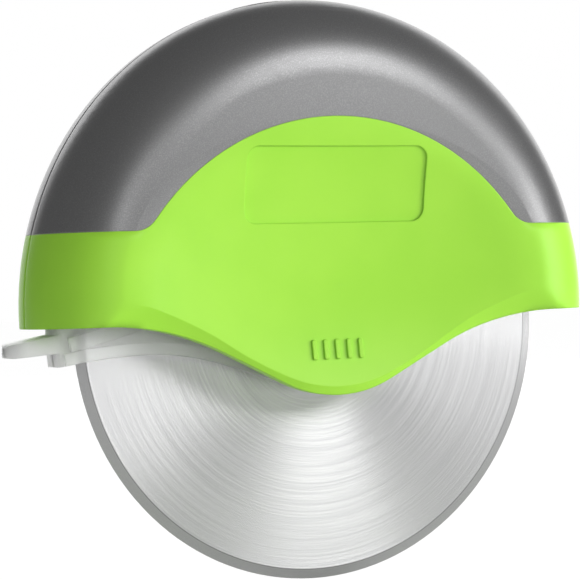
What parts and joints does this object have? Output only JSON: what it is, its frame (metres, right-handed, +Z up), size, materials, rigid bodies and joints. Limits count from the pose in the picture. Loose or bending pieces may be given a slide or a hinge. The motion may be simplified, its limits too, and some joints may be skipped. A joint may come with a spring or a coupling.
{
  "type": "pizza cutter wheel",
  "caption": "Palm-held pizza cutter: steel wheel under an arched two-part handle that hinges open, with a translucent guard that folds up inside it.",
  "frame": {"origin": "the wheel's centre: where its axis of rotation crosses the blade's middle plane", "axes": "+X to the right as seen from the front, +Y to the rear along the axle, +Z up towards the palm"},
  "size_m": [0.118, 0.0268, 0.1084],
  "materials": {
    "green_shell": "fine satin",
    "grey_grip": "soft touch with a fine metallic grain",
    "steel": "turned",
    "seal": "moulded",
    "bearing_plastic": "moulded",
    "blade_steel": "brushed in circles, ground edge",
    "hub_steel": "satin",
    "guard_plastic": "translucent, lightly frosted"
  },
  "bodies": {
    "rear_half": {"rear_shell": "green_shell", "rear_grip": "grey_grip", "hinge_pin": "steel", "axle": "steel", "axle_screw": "steel", "thrust_washer_front": "bearing_plastic", "thrust_washer_rear": "bearing_plastic"},
    "front_cover": {"front_shell": "green_shell", "front_grip": "grey_grip", "catch_ring": "seal", "catch_retainer": "bearing_plastic"},
    "wheel": {"blade": "blade_steel", "hub_front": "hub_steel", "hub_rear": "hub_steel", "hub_rivets": "steel", "wheel_bush": "bearing_plastic"},
    "guard": {"guard_front": "guard_plastic", "guard_rear": "guard_plastic", "guard_pegs": "guard_plastic"}
  },
  "joints": [
    {"name": "wheel_spin", "type": "hinge", "parent": "rear_half", "child": "wheel", "pos_m": [0, 0, 0], "axis": [0, 1, 0], "continuous": true},
    {"name": "guard_swing", "type": "hinge", "parent": "rear_half", "child": "guard", "pos_m": [0, 0, 0], "axis": [0, -1, 0], "range_deg": [0, 174]},
    {"name": "cover_hinge", "type": "hinge", "parent": "rear_half", "child": "front_cover", "pos_m": [0, 0, 0.05842], "axis": [-1, 0, 0], "range_deg": [0, 100]}
  ]
}
